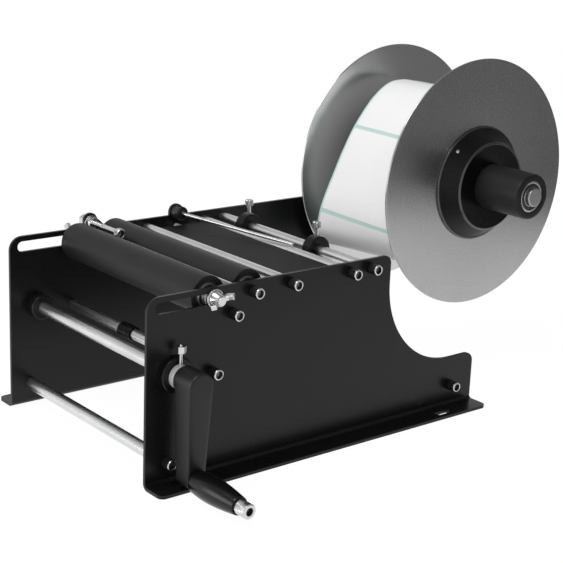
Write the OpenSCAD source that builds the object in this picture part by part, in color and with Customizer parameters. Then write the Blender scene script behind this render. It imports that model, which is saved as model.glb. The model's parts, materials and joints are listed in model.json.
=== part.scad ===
// Hand-cranked table-top machine that lays labels on round bottles.
// X runs along the rollers, with the crank on +X. The operator stands at -Y and the label reel is at +Y.
// The origin is on the table, under the middle of the machine's box. All lengths are in millimetres.

/* [Side plates] */
// Clear distance between the inner faces of the two side plates
plate_gap = 226; // [216:1:240]
// Thickness of the sheet steel of the side plates
plate_t = 3; // [2.5:0.5:4]
// Height of the side plates
plate_h = 168; // [166:1:180]
// Length of the side plates along the foot
plate_l = 390; // [385:1:410]
// Length of the right plate along its top edge
top_edge_l = 270; // [266:1:276]
// Width of the foot flange beyond the outer face of its plate
flange_w = 24; // [20:1:30]
// Height of the low foot behind the right plate's curved back
foot_h = 52; // [44:1:60]
// Radius of the front top corner of each plate
front_corner_r = 13; // [8:1:16]

/* [Bottle rollers] */
// Outer diameter of both rubber rollers
roller_d = 35; // [32:0.5:36]
// Clear gap between each end of the rollers and its side plate
roller_end_gap = 6.5; // [6:0.5:12]
// Depth of the roller axes under the top edge of the plates
roller_drop = 10; // [9.5:0.5:12]
// Distance of the front roller's axis from the front edge
front_roller_y = 68; // [60:1:68]
// Distance of the rear roller's axis from the front edge
rear_roller_y = 109; // [109:1:112]
// Length of the slots that the front axle slides in
axle_slot_l = 71; // [64:1:72]

/* [Guide rods] */
// Diameter of the thick rods: the front lower, the rear lower and the drive shaft
thick_rod_d = 12; // [11:0.5:13]
// Diameter of the thin rods that guide the label web
thin_rod_d = 10; // [9:0.5:10.5]
// Diameter of the sliding guide collars
collar_d = 26; // [22:1:28]
// Width of the sliding guide collars
collar_w = 12; // [10:1:14]

/* [Crank] */
// Height of the drive shaft's axis over the table
shaft_z = 98.4; // [98.4:0.2:102]
// Distance from the shaft's axis to the grip's axis
crank_r = 84; // [70:1:84]
// Length of the grip between the arm and its end sleeve
grip_l = 56; // [46:1:80]
// Largest diameter of the grip
grip_d = 23; // [20:1:23]

/* [Label reel] */
// Diameter of the two reel discs
disc_d = 259; // [230:1:264]
// Distance of the reel's axis from the front edge
reel_y = 468.3; // [460:1:480]
// Height of the reel's axis over the table
reel_z = 199.1; // [194:0.5:206]
// Diameter of the label roll
roll_d = 183; // [150:1:194]
// Width of the label roll
roll_w = 100.4; // [90:0.2:104]
// Outer diameter of the tube that carries the discs
reel_tube_d = 47; // [44:1:50]

/* [Hidden] */
$fn = 96;

// Colours
paint = [0.08, 0.08, 0.09];
grey_paint = [0.22, 0.22, 0.23];
satin_black = [0.12, 0.12, 0.13];
satin_grey = [0.45, 0.45, 0.46];
plastic = [0.13, 0.13, 0.13];
rubber = [0.2, 0.2, 0.2];
chrome = [0.8, 0.8, 0.82];
bright_steel = [0.75, 0.75, 0.77];
steel = [0.7, 0.7, 0.72];
dull_steel = [0.58, 0.58, 0.6];
paper = [0.93, 0.93, 0.92];
card = [0.6, 0.48, 0.34];

// Fits and the overrun of every cut
cut = 1;
turn_gap = 0.05;
seat_gap = 0.05;
face_gap = 0.3;

// Planes of the side plates
x_in = plate_gap / 2;
x_out = x_in + plate_t;
flange_x = x_out + flange_w;

// Bends, corners and fixing slots of the side plates
bend_in_r = 3;
bend_out_r = bend_in_r + plate_t;
flange_corner_r = 6;
top_back_r = 8;
foot_corner_r = 10;
back_curve_r = 88;
back_curve_y = top_edge_l + back_curve_r;
fix_slot_l = 18;
fix_slot_w = 6.5;
fix_slot_edge = 8.5;
fix_slot_inset = 52.5;
rod_hole_r = 3.3;

// The left plate's arm that carries the reel
boss_r = 36;
top_fillet_r = 40;
boss_rise = reel_z - plate_h;
top_fillet_y = reel_y - sqrt((top_fillet_r + boss_r) ^ 2 - (top_fillet_r - boss_rise) ^ 2);
boss_back = reel_y - plate_l;
boss_over_foot = reel_z - foot_h;
rear_curve_r = (boss_back ^ 2 + boss_over_foot ^ 2 - boss_r ^ 2) / (2 * (boss_r + boss_back));
rear_curve_y = plate_l + rear_curve_r;

// Places of the rods: distance from the front edge and height
thick_r = thick_rod_d / 2;
thin_r = thin_rod_d / 2;
front_rod_y = 20.9;
front_rod_z = 21.1;
rear_rod_inset = 29.7;
rear_rod_y = plate_l - rear_rod_inset;
rear_rod_z = 22.4;
shaft_y = 28.8;
lower_guide_y = 67.3;
lower_guide_z = 92.9;
roller_z = plate_h - roller_drop;
under_rod_ahead = 21.5;
under_rod_drop = 26.3;
under_rod_y = rear_roller_y - under_rod_ahead;
under_rod_z = plate_h - under_rod_drop;
peel_rod_y = 151.5;
peel_rod_drop = 9.2;
peel_rod_z = plate_h - peel_rod_drop;
inner_guide_inset = 48.9;
inner_guide_y = top_edge_l - inner_guide_inset;
inner_guide_drop = 10;
inner_guide_z = plate_h - inner_guide_drop;
outer_guide_inset = 24.7;
outer_guide_y = top_edge_l - outer_guide_inset;
outer_guide_drop = 9;
outer_guide_z = plate_h - outer_guide_drop;
rod_places = [
    [front_rod_y, front_rod_z], [rear_rod_y, rear_rod_z], [lower_guide_y, lower_guide_z],
    [under_rod_y, under_rod_z], [rear_roller_y, roller_z], [peel_rod_y, peel_rod_z],
    [inner_guide_y, inner_guide_z], [outer_guide_y, outer_guide_z]
];

// Socket screws that hold the rods
screw_r = 3;
screw_head_r = 5;
screw_head_h = 10.3;
screw_l = 15;
screw_hex = 5;
screw_hex_depth = 4;
screw_edge = 0.6;
tap_spare = 2;
tap_depth = screw_l - plate_t + tap_spare;

// Strip that stands on the under-roller rod between the rollers
strip_t = 1.5;
strip_back = 2.5;
strip_drop = 1.2;
strip_top = plate_h - strip_drop;
strip_end_gap = 2;

// Peel table between the peel rod and the inner guide rod
table_y = 158;
table_back_gap = 2.1;
table_depth = inner_guide_y - thin_r - table_back_gap - table_y;
table_t = 2.5;
table_lip = 10;
table_drop = 7;
table_z = plate_h - table_drop;
table_end_gap = 14;
table_round_r = 2;
stud_ahead = 34.1;
stud_y = inner_guide_y - stud_ahead;
stud_r = 3;
stud_pin_r = 2;
stud_pin_l = plate_t - 2 * face_gap;
stud_drop = 4.5;

// Sliding collars and their thumb screws
collar_edge = 1;
left_collar_in = 2.5;
right_collar_out = 7.6;
thumb_r = 2;
thumb_head_r = 4.2;
thumb_head_h = 6;
thumb_reach = 8;
low_collar_x = -14;
low_collar_w = 20;
low_collar_r = 7;
low_groove_w = 1.2;
low_groove_depth = 0.6;
low_groove_inset = 3;

// Bottle stop in the left plate's front lug
stop_y = 87;
stop_rise = 4.4;
stop_lug_r = 7.4;
stop_lug_up = 1.7;
stop_lug_flare = 8.5;
stop_z = plate_h + stop_rise;
stop_r = 3;
stop_head_r = 5;
stop_head_h = 6;
stop_l = 65;
stop_reach = 54.7;
stop_head_x = stop_reach - x_in;
nut_af = 10;
nut_h = 5;
long_nut_h = 10;
washer_t = 1.6;
stop_washer_r = 6.8;

// Press rod that lies on the web over the inner guide rod
holder_ahead = 33.6;
holder_y = inner_guide_y - holder_ahead;
holder_rise = 3;
holder_lug_r = 8.2;
holder_r = 7;
holder_l = 11;
holder_pin_r = 3;
press_r = 1.75;
press_l = 141;
press_plan = 14.2;
press_eye_r = 3;
press_eye_w = 3.6;
press_slot_w = 4.2;
press_pin_r = 1;
press_end_r = 0.8;
holder_z = plate_h + holder_rise;
holder_pivot_x = holder_l / 2 + collar_edge - x_in;
press_cross_l = (inner_guide_y - holder_y) / sin(press_plan);
press_fall = holder_z - inner_guide_z - thin_rod_d / 2 - press_r - face_gap;
press_pitch = asin(press_fall / press_cross_l);

// Drive shaft, its bearings and the crank on its end
right_bearing_r = 16;
right_bearing_t = 5;
right_spigot_r = 10;
left_bearing_r = 12;
left_bearing_l = 11;
left_spigot_r = 9;
clip_t = 1.2;
clip_r = 9;
clip_depth = 0.9;
shaft_tail = 3.5;
collar_x0 = x_out + right_bearing_t + face_gap;
shaft_collar_w = 8;
shaft_collar_r = 10.5;
set_screw_r = 1.5;
set_screw_in = 2.5;
set_hex = 8;
set_hex_rise = 10.6;
set_hex_h = 6;
set_nub_r = 1.6;
set_nub_h = 1.3;
set_nub_edge = 0.4;
hub_x0 = collar_x0 + shaft_collar_w;
hub_l = 26;
hub_r = 12;
hub_edge = 1;
hub_cover = 3;
arm_inset = 2.2;
arm_x0 = hub_x0 + arm_inset;
arm_t = 18.5;
arm_root_r = 10.5;
arm_end_r = 9;
arm_x1 = arm_x0 + arm_t;
grip_z = shaft_z - crank_r;
bolt_r = 4;
bush_wall = 1.4;
bush_r = bolt_r + seat_gap + bush_wall;
bush_head_r = 7;
bush_head_l = 8;
bolt_head_r = 6.5;
bolt_head_h = 8;
bolt_hex = 6;
bolt_hex_depth = 5;
bolt_grab = 16;
grip_root_r = 10;
grip_tip_r = 8;
grip_edge = 1.2;
grip_widest_share = 0.4;
grip_swell = grip_d / 2 - grip_root_r - (grip_tip_r - grip_root_r) * grip_widest_share;
grip_steps = 20;
bush_x1 = arm_x1 + grip_l + 2 * face_gap;
crank_end_x = bush_x1 + bush_head_l + bolt_head_h;

// Rollers, their axles and bearings
roller_r = roller_d / 2;
roller_l = plate_gap - 2 * roller_end_gap;
rubber_t = 5;
core_r = roller_r - rubber_t;
bearing_r = 11;
bearing_w = 6;
axle_r = 5;
axle_neck_r = 4;
axle_slot_h = 10;
axle_slot_y0 = 8;
spacer_r = 8;
roller_edge = 0.6;
axle_washer_r = 8.5;
wing_boss_r = 7;
wing_boss_top_r = 5.8;
wing_boss_h = 9;
wing_t = 3;
wing_w = 4.6;
wing_root_r = 5;
wing_root_x = 3;
wing_knee_r = 8.5;
wing_knee_x = 5;
wing_tip_r = 13;
wing_tip_x = 10.9;
wing_lean = 30;
right_wing_turn = 18;
left_wing_turn = 78;
neck_out = washer_t + wing_boss_h + face_gap;

// Reel: fixed shaft, tube on bearings, discs, hubs, core and labels
reel_shaft_r = 7.5;
reel_flange_r = 18;
reel_flange_t = 5;
reel_bearing_r = 16;
reel_bearing_w = 9;
reel_tube_r = reel_tube_d / 2;
reel_tube_bore_r = 14;
reel_tube_back_gap = 2;
reel_tube_x0 = reel_flange_t + reel_tube_back_gap - x_in;
reel_tube_out = 56;
reel_recess = 1;
cap_r = 9.5;
cap_t = 5;
cap_pin_r = 4;
cap_pin_l = 12;
reel_bolt_r = 5;
reel_bolt_l = 24;
reel_bolt_af = 17;
reel_bolt_head_h = 6.4;
reel_washer_r = 11;
reel_washer_t = 2;
disc_r = disc_d / 2;
disc_t = 2;
disc_edge = 0.5;
far_disc_gap = 12;
far_disc_x = far_disc_gap - x_in;
hub_lip_r = 60;
hub_lip_t = 2.5;
hub_cone_r = 57;
hub_boss_r = 45;
hub_h = 20;
far_hub_h = 28;
hub_edge_r = 1.5;
spigot_r = 37.9;
spigot_l = 15;
hub_screw_r = 2.5;
hub_screw_out = 5.8;
hub_screw_turn = 136;
roll_x0 = far_disc_x + disc_t + far_hub_h;
roll_x1 = roll_x0 + roll_w;
near_disc_x = roll_x1 + 2 * face_gap;
reel_tube_x1 = near_disc_x + disc_t + hub_h + reel_tube_out;
left_collar_x = roll_x0 + left_collar_in;
right_collar_x = roll_x1 + right_collar_out;
core_t = 3;
core_play = 0.2;
core_in_r = spigot_r + core_play;
core_out_r = core_in_r + core_t;
roll_r = roll_d / 2;

// The loose outer turn of the label roll, from the reel's axis, anticlockwise seen from the crank
web_t = 0.6;
web_steps = 6;
web_shares = [
    [0.399, 0.925], [0.175, 0.994], [-0.022, 1.021], [-0.213, 1.040], [-0.427, 1.005],
    [-0.667, 0.850], [-0.902, 0.564], [-1.058, 0.285], [-1.197, -0.008], [-1.316, -0.280],
    [-1.353, -0.475], [-1.311, -0.617], [-1.191, -0.727], [-0.995, -0.803], [-0.754, -0.863],
    [-0.503, -0.923], [-0.240, -0.984], [0.022, -1.009]
];
web_points = [for (p = web_shares) p * roll_r];

// The machine's box, which puts the origin under its middle
middle_x = (crank_end_x - flange_x) / 2;
middle_y = (reel_y + disc_r) / 2;

// Moves a piece from the side plates' own frame to the machine's origin
module at_origin() {
    translate([-middle_x, -middle_y, 0])
        children();
}

// Solid round bar along X
module bar_x(x0, x1, r, y, z) {
    translate([x0, y, z])
        rotate([0, 90, 0])
            cylinder(h = x1 - x0, r = r);
}

// Round tube along X
module tube_x(x0, x1, r_out, r_in, y, z) {
    difference() {
        bar_x(x0, x1, r_out, y, z);
        bar_x(x0 - cut, x1 + cut, r_in, y, z);
    }
}

// Revolved shape along X from a profile of [distance along X, radius] points
module turned_x(x0, y, z, profile) {
    translate([x0, y, z])
        rotate([0, 90, 0])
            rotate_extrude()
                polygon([for (p = profile) [p[1], p[0]]]);
}

// Plate in the side view, with the 2D x as Y and the 2D y as Z
module side_x(x0, t) {
    translate([x0, 0, 0])
        rotate([90, 0, 90])
            linear_extrude(t)
                children();
}

// Six-sided prism along X
module hex_x(x0, x1, af) {
    translate([x0, 0, 0])
        rotate([0, 90, 0])
            cylinder(h = x1 - x0, r = af / 2 / cos(30), $fn = 6);
}

// What a round corner of radius r takes off a square one at the 2D origin
module corner_off(r) {
    difference() {
        translate([-cut, -cut])
            square(r + cut);
        translate([r, r])
            circle(r);
    }
}

// Rod between the side plates with a tapped hole in each end
module guide_rod(r, y, z) {
    difference() {
        bar_x(-x_in, x_in, r, y, z);
        bar_x(-x_in - cut, -x_in + tap_depth, screw_r + seat_gap, y, z);
        bar_x(x_in - tap_depth, x_in + cut, screw_r + seat_gap, y, z);
    }
}

// Socket head screw with its head's seat at x 0 and its shank towards -X
module socket_screw(head_r, head_h, r, l, hex, hex_depth) {
    difference() {
        turned_x(0, 0, 0, [
            [-l, 0], [-l, r - screw_edge], [-l + screw_edge, r], [0, r], [0, head_r],
            [head_h - screw_edge, head_r], [head_h, head_r - screw_edge], [head_h, 0]
        ]);
        hex_x(head_h - hex_depth, head_h + cut, hex);
    }
}

// Outline that both side plates share: the straight front part
module plate_front(top_l) {
    difference() {
        square([top_l, plate_h]);
        translate([0, plate_h])
            mirror([0, 1])
                corner_off(front_corner_r);
    }
}

// Foot of the plate with its round rear corner
module plate_foot() {
    difference() {
        square([plate_l, foot_h]);
        translate([plate_l, foot_h])
            rotate(180)
                corner_off(foot_corner_r);
    }
}

// Side view of the right plate, with its concave back
module right_outline() {
    difference() {
        plate_front(top_edge_l);
        translate([top_edge_l, plate_h])
            rotate(180)
                corner_off(top_back_r);
    }
    plate_foot();
    difference() {
        translate([top_edge_l - cut, foot_h - cut])
            square([back_curve_r + cut, back_curve_r + cut]);
        translate([back_curve_y, foot_h + back_curve_r])
            circle(back_curve_r);
    }
}

// Side view of the left plate, with the arm and boss of the reel and the two lugs
module left_outline() {
    plate_front(top_edge_l);
    square([plate_l, foot_h]);
    translate([reel_y, reel_z])
        circle(boss_r);
    difference() {
        polygon([
            [top_edge_l - cut, foot_h - cut], [plate_l, foot_h - cut], [plate_l, foot_h],
            [rear_curve_y + (reel_y - rear_curve_y) * rear_curve_r / (rear_curve_r + boss_r),
             foot_h + boss_over_foot * rear_curve_r / (rear_curve_r + boss_r)],
            [reel_y, reel_z],
            [top_fillet_y + (reel_y - top_fillet_y) * top_fillet_r / (top_fillet_r + boss_r),
             plate_h + top_fillet_r
                 + (boss_rise - top_fillet_r) * top_fillet_r / (top_fillet_r + boss_r)],
            [top_fillet_y, plate_h], [top_edge_l - cut, plate_h]
        ]);
        translate([rear_curve_y, foot_h])
            circle(rear_curve_r);
        translate([top_fillet_y, plate_h + top_fillet_r])
            circle(top_fillet_r);
    }
    lug_outline(stop_y, stop_z + stop_lug_up, stop_lug_r);
    polygon([
        [stop_y, plate_h - cut], [stop_y, plate_h],
        [stop_y + stop_lug_r * cos(15), stop_z + stop_lug_up + stop_lug_r * sin(15)],
        [stop_y + stop_lug_r + stop_lug_flare, plate_h],
        [stop_y + stop_lug_r + stop_lug_flare, plate_h - cut]
    ]);
    lug_outline(holder_y, holder_z, holder_lug_r);
}

// Round-topped lug that stands on the top edge
module lug_outline(y, z, r) {
    translate([y, z])
        circle(r);
    translate([y - r, plate_h - r])
        square([2 * r, z - plate_h + r]);
}

// Slot that the front axle slides in
module axle_slot() {
    for (y = [axle_slot_y0 + axle_slot_h / 2, axle_slot_y0 + axle_slot_l - axle_slot_h / 2])
        translate([y, roller_z])
            circle(axle_slot_h / 2);
    translate([axle_slot_y0 + axle_slot_h / 2, roller_z - axle_slot_h / 2])
        square([axle_slot_l - axle_slot_h, axle_slot_h]);
}

// Bend and foot flange of the right plate, seen along Y
module flange_profile() {
    translate([x_in + bend_out_r, 0])
        square([flange_x - x_in - bend_out_r, plate_t]);
    intersection() {
        difference() {
            translate([x_in + bend_out_r, bend_out_r])
                circle(bend_out_r);
            translate([x_in + bend_out_r, bend_out_r])
                circle(bend_in_r);
        }
        translate([x_in, 0])
            square(bend_out_r);
    }
}

// Foot flange of the right plate with its fixing slots
module flange() {
    difference() {
        translate([0, plate_l, 0])
            rotate([90, 0, 0])
                linear_extrude(plate_l)
                    flange_profile();
        translate([0, 0, -cut])
            linear_extrude(plate_t + 2 * cut) {
                translate([flange_x, 0])
                    rotate(90)
                        corner_off(flange_corner_r);
                translate([flange_x, plate_l])
                    rotate(180)
                        corner_off(flange_corner_r);
                for (y = [fix_slot_inset, plate_l - fix_slot_inset])
                    fixing_slot(flange_x - fix_slot_edge, y);
            }
    }
}

// One fixing slot, long along Y
module fixing_slot(x, y) {
    half = (fix_slot_l - fix_slot_w) / 2;
    translate([x - fix_slot_w / 2, y - half])
        square([fix_slot_w, 2 * half]);
    for (side = [-1, 1])
        translate([x, y + side * half])
            circle(fix_slot_w / 2);
}

// Holes for the rods and the studs, the same in both plates
module shared_holes() {
    for (p = rod_places)
        bar_x(x_in - cut, x_out + cut, rod_hole_r, p[0], p[1]);
    bar_x(x_in - cut, x_in + stud_pin_l + face_gap, stud_pin_r + seat_gap, stud_y,
        table_z - stud_drop);
    side_x(x_in - cut, plate_t + 2 * cut)
        axle_slot();
}

// Side plate above the bend
module upright() {
    intersection() {
        side_x(x_in, plate_t)
            children();
        translate([x_in - cut, -cut, bend_out_r])
            cube([plate_t + 2 * cut, reel_y + disc_r, reel_z + boss_r]);
    }
}

module right_side_plate() {
    color(paint) at_origin()
        difference() {
            union() {
                upright()
                    right_outline();
                flange();
            }
            shared_holes();
            bar_x(x_in - cut, x_out + cut, right_spigot_r + seat_gap, shaft_y, shaft_z);
        }
}

module left_side_plate() {
    color(paint) at_origin()
        mirror([1, 0, 0])
            difference() {
                union() {
                    upright()
                        left_outline();
                    flange();
                }
                shared_holes();
                bar_x(x_in - cut, x_out + cut, left_spigot_r + seat_gap, shaft_y, shaft_z);
                bar_x(x_in - cut, x_out + cut, stop_r + turn_gap, stop_y, stop_z);
                bar_x(x_in - cut, x_out + cut, holder_pin_r + seat_gap, holder_y, holder_z);
                bar_x(x_in - cut, x_out + cut, reel_bolt_r + seat_gap, reel_y, reel_z);
            }
}

module front_lower_rod() {
    color(chrome) at_origin()
        guide_rod(thick_r, front_rod_y, front_rod_z);
}

module rear_lower_rod() {
    color(chrome) at_origin()
        guide_rod(thick_r, rear_rod_y, rear_rod_z);
}

module lower_guide_rod() {
    color(chrome) at_origin()
        guide_rod(thin_r, lower_guide_y, lower_guide_z);
}

module under_roller_rod() {
    color(chrome) at_origin()
        guide_rod(thin_r, under_rod_y, under_rod_z);
}

module peel_rod() {
    color(chrome) at_origin()
        guide_rod(thin_r, peel_rod_y, peel_rod_z);
}

module inner_guide_rod() {
    color(chrome) at_origin()
        guide_rod(thin_r, inner_guide_y, inner_guide_z);
}

module outer_guide_rod() {
    color(chrome) at_origin()
        guide_rod(thin_r, outer_guide_y, outer_guide_z);
}

// Socket screws at both ends of every rod
module rod_screws() {
    color(steel) at_origin()
        for (side = [0, 1], p = rod_places)
            mirror([side, 0, 0])
                translate([x_out, p[0], p[1]])
                    socket_screw(screw_head_r, screw_head_h, screw_r, screw_l, screw_hex, screw_hex_depth);
}

// Folded strip: an open eye round the under-roller rod and a leaf that stands up from it
module roller_gap_strip() {
    eye_in = thin_r + seat_gap;
    eye_out = eye_in + strip_t;
    color(bright_steel) at_origin()
        side_x(-x_in + strip_end_gap, plate_gap - 2 * strip_end_gap)
            difference() {
                union() {
                    translate([under_rod_y, under_rod_z])
                        circle(eye_out);
                    translate([under_rod_y + strip_back - strip_t / 2, under_rod_z])
                        square([strip_t, strip_top - under_rod_z]);
                }
                translate([under_rod_y, under_rod_z])
                    circle(eye_in);
                translate([under_rod_y - eye_in / 2, under_rod_z - eye_out - cut])
                    square([eye_in, eye_out + cut]);
            }
}

// Channel of sheet steel: a flat top, two lips and two end tabs that the studs enter
module peel_table() {
    x1 = x_in - table_end_gap;
    color(grey_paint) at_origin()
        difference() {
            side_x(-x1, 2 * x1)
                difference() {
                    translate([table_y, table_z - table_lip])
                        square([table_depth, table_lip]);
                    translate([table_y, table_z])
                        mirror([0, 1])
                            corner_off(table_round_r);
                    translate([table_y + table_depth, table_z])
                        rotate(180)
                            corner_off(table_round_r);
                }
            translate([-x1 + table_t, table_y + table_t, table_z - table_lip - cut])
                cube([2 * (x1 - table_t), table_depth - 2 * table_t, table_lip - table_t + cut]);
            bar_x(-x1 - cut, -x1 + table_t + cut, stud_pin_r + seat_gap, stud_y, table_z - stud_drop);
            bar_x(x1 - table_t - cut, x1 + cut, stud_pin_r + seat_gap, stud_y, table_z - stud_drop);
        }
}

// Round stud that carries one end of the peel table, with a pin at each end
module table_stud() {
    x1 = x_in - table_end_gap;
    turned_x(x1, stud_y, table_z - stud_drop, [
        [-table_t, 0], [-table_t, stud_pin_r], [0, stud_pin_r], [0, stud_r], [table_end_gap, stud_r],
        [table_end_gap, stud_pin_r], [table_end_gap + stud_pin_l, stud_pin_r],
        [table_end_gap + stud_pin_l, 0]
    ]);
}

module peel_table_studs() {
    color(chrome) at_origin() {
        table_stud();
        mirror([1, 0, 0])
            table_stud();
    }
}

// Plain collar with bevelled edges
module bevelled_ring(x0, w, r_out, r_in, edge, y, z) {
    difference() {
        turned_x(x0, y, z, [
            [0, 0], [0, r_out - edge], [edge, r_out], [w - edge, r_out], [w, r_out - edge], [w, 0]
        ]);
        bar_x(x0 - cut, x0 + w + cut, r_in, y, z);
    }
}

module guide_collar(x) {
    color(plastic) at_origin()
        difference() {
            bevelled_ring(x - collar_w / 2, collar_w, collar_d / 2, thin_r + turn_gap, collar_edge,
                outer_guide_y, outer_guide_z);
            translate([x, outer_guide_y, outer_guide_z])
                cylinder(h = collar_d, r = thumb_r + turn_gap);
        }
}

// Thumb screw that stands up from a guide collar
module thumb_screw(x) {
    shank_l = collar_d / 2 + thumb_reach - thin_r - face_gap;
    color(steel) at_origin()
        translate([x, outer_guide_y, outer_guide_z + thin_r + face_gap])
            rotate_extrude()
                polygon([
                    [0, 0], [thumb_r - screw_edge, 0], [thumb_r, screw_edge], [thumb_r, shank_l],
                    [thumb_head_r - screw_edge, shank_l], [thumb_head_r, shank_l + screw_edge],
                    [thumb_head_r, shank_l + thumb_head_h - screw_edge],
                    [thumb_head_r - screw_edge, shank_l + thumb_head_h], [0, shank_l + thumb_head_h]
                ]);
}

module left_guide_collar() {
    guide_collar(left_collar_x);
}

module right_guide_collar() {
    guide_collar(right_collar_x);
}

module left_thumb_screw() {
    thumb_screw(left_collar_x);
}

module right_thumb_screw() {
    thumb_screw(right_collar_x);
}

// Sleeve that slides on the lower guide rod, with a groove near its right end
module lower_guide_collar() {
    x0 = low_collar_x - low_collar_w / 2;
    groove_x = x0 + low_collar_w - low_groove_inset;
    color(plastic) at_origin()
        difference() {
            bevelled_ring(x0, low_collar_w, low_collar_r, thin_r + turn_gap, low_groove_depth,
                lower_guide_y, lower_guide_z);
            tube_x(groove_x - low_groove_w, groove_x, low_collar_r + cut,
                low_collar_r - low_groove_depth, lower_guide_y, lower_guide_z);
        }
}

// Long socket screw that stops the bottle's foot
module stop_screw() {
    color(dull_steel) at_origin()
        translate([stop_head_x - stop_head_h, stop_y, stop_z])
            socket_screw(stop_head_r, stop_head_h, stop_r, stop_l, screw_hex, screw_hex_depth);
}

// Hexagon nut on the stop screw
module stop_nut(x0, h) {
    color(dull_steel) at_origin()
        difference() {
            translate([0, stop_y, stop_z])
                hex_x(x0, x0 + h, nut_af);
            bar_x(x0 - cut, x0 + h + cut, stop_r + turn_gap, stop_y, stop_z);
        }
}

module stop_inner_nut() {
    stop_nut(-x_in + washer_t, nut_h);
}

module stop_outer_nut() {
    stop_nut(-x_out - long_nut_h, long_nut_h);
}

module stop_washer() {
    color(dull_steel) at_origin()
        tube_x(-x_in, -x_in + washer_t, stop_washer_r, stop_r + turn_gap, stop_y, stop_z);
}

// Round holder riveted into the rear lug, slotted for the eye of the press rod
module press_rod_holder() {
    color(plastic) at_origin()
        difference() {
            turned_x(-x_in, holder_y, holder_z, [
                [-plate_t, 0], [-plate_t, holder_pin_r], [0, holder_pin_r], [0, holder_r],
                [holder_l - collar_edge, holder_r], [holder_l, holder_r - collar_edge], [holder_l, 0]
            ]);
            translate([holder_pivot_x, holder_y, holder_z])
                rotate([0, 0, press_plan]) {
                    translate([-press_eye_r - face_gap, -press_slot_w / 2, -press_eye_r - face_gap])
                        cube([holder_l + holder_r, press_slot_w, holder_r + holder_r]);
                    rotate([90, 0, 0])
                        cylinder(h = 3 * holder_r, r = press_pin_r + seat_gap, center = true);
                }
        }
}

module press_rod_pin() {
    pin_l = 2 * (holder_r - collar_edge);
    color(steel) at_origin()
        translate([holder_pivot_x, holder_y, holder_z])
            rotate([0, 0, press_plan])
                rotate([90, 0, 0])
                    cylinder(h = pin_l, r = press_pin_r, center = true);
}

// Thin rod with a flat eye on the holder's pin and a rounded free end
module press_rod() {
    color(chrome) at_origin()
        translate([holder_pivot_x, holder_y, holder_z])
            rotate([0, press_pitch, press_plan])
                difference() {
                    union() {
                        rotate([90, 0, 0])
                            cylinder(h = press_eye_w, r = press_eye_r, center = true);
                        turned_x(press_pin_r + face_gap, 0, 0, [
                            [0, 0], [0, press_r], [press_l - press_end_r, press_r],
                            [press_l, press_r - press_end_r], [press_l, 0]
                        ]);
                    }
                    rotate([90, 0, 0])
                        cylinder(h = 2 * press_eye_w, r = press_pin_r + turn_gap, center = true);
                }
}

// Shaft that the crank turns and the empty web is wound on
module drive_shaft() {
    x0 = -x_out - shaft_tail;
    clip_x = -x_out - face_gap;
    color(chrome) at_origin()
        difference() {
            bar_x(x0, hub_x0 + hub_l - hub_cover - face_gap, thick_r, shaft_y, shaft_z);
            tube_x(clip_x - clip_t - turn_gap, clip_x + turn_gap, thick_r + cut,
                thick_r - clip_depth, shaft_y, shaft_z);
        }
}

module left_shaft_bearing() {
    color(plastic) at_origin()
        difference() {
            turned_x(-x_out, shaft_y, shaft_z, [
                [0, 0], [0, left_spigot_r], [plate_t, left_spigot_r], [plate_t, left_bearing_r],
                [plate_t + left_bearing_l - collar_edge, left_bearing_r],
                [plate_t + left_bearing_l, left_bearing_r - collar_edge], [plate_t + left_bearing_l, 0]
            ]);
            bar_x(-x_out - cut, -x_in + left_bearing_l + cut, thick_r + turn_gap, shaft_y, shaft_z);
        }
}

module right_shaft_bearing() {
    color(plastic) at_origin()
        difference() {
            turned_x(x_in, shaft_y, shaft_z, [
                [0, 0], [0, right_spigot_r], [plate_t, right_spigot_r], [plate_t, right_bearing_r],
                [plate_t + right_bearing_t - collar_edge, right_bearing_r],
                [plate_t + right_bearing_t, right_bearing_r - collar_edge],
                [plate_t + right_bearing_t, 0]
            ]);
            bar_x(x_in - cut, x_out + right_bearing_t + cut, thick_r + turn_gap, shaft_y, shaft_z);
        }
}

// Retaining ring in the groove at the shaft's left end
module shaft_clip() {
    clip_x = -x_out - face_gap;
    color(dull_steel) at_origin()
        difference() {
            tube_x(clip_x - clip_t, clip_x, clip_r, thick_r - clip_depth + turn_gap, shaft_y, shaft_z);
            translate([clip_x - clip_t - cut, shaft_y - thick_r / 2, shaft_z - clip_r - cut])
                cube([clip_t + 2 * cut, thick_r, clip_r]);
        }
}

module shaft_collar() {
    color(bright_steel) at_origin()
        difference() {
            bevelled_ring(collar_x0, shaft_collar_w, shaft_collar_r, thick_r + seat_gap, screw_edge,
                shaft_y, shaft_z);
            translate([collar_x0 + set_screw_in, shaft_y, shaft_z])
                cylinder(h = 2 * shaft_collar_r, r = set_screw_r + seat_gap);
        }
}

// Set screw with a hexagon head that stands up from the shaft collar
module collar_screw() {
    head_z = shaft_collar_r + set_hex_rise;
    color(steel) at_origin()
        translate([collar_x0 + set_screw_in, shaft_y, shaft_z]) {
            translate([0, 0, thick_r + seat_gap])
                cylinder(h = head_z - thick_r, r = set_screw_r);
            translate([0, 0, head_z])
                cylinder(h = set_hex_h, r = set_hex / 2 / cos(30), $fn = 6);
            translate([0, 0, head_z + set_hex_h])
                cylinder(h = set_nub_h, r1 = set_nub_r, r2 = set_nub_r - set_nub_edge);
        }
}

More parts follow.
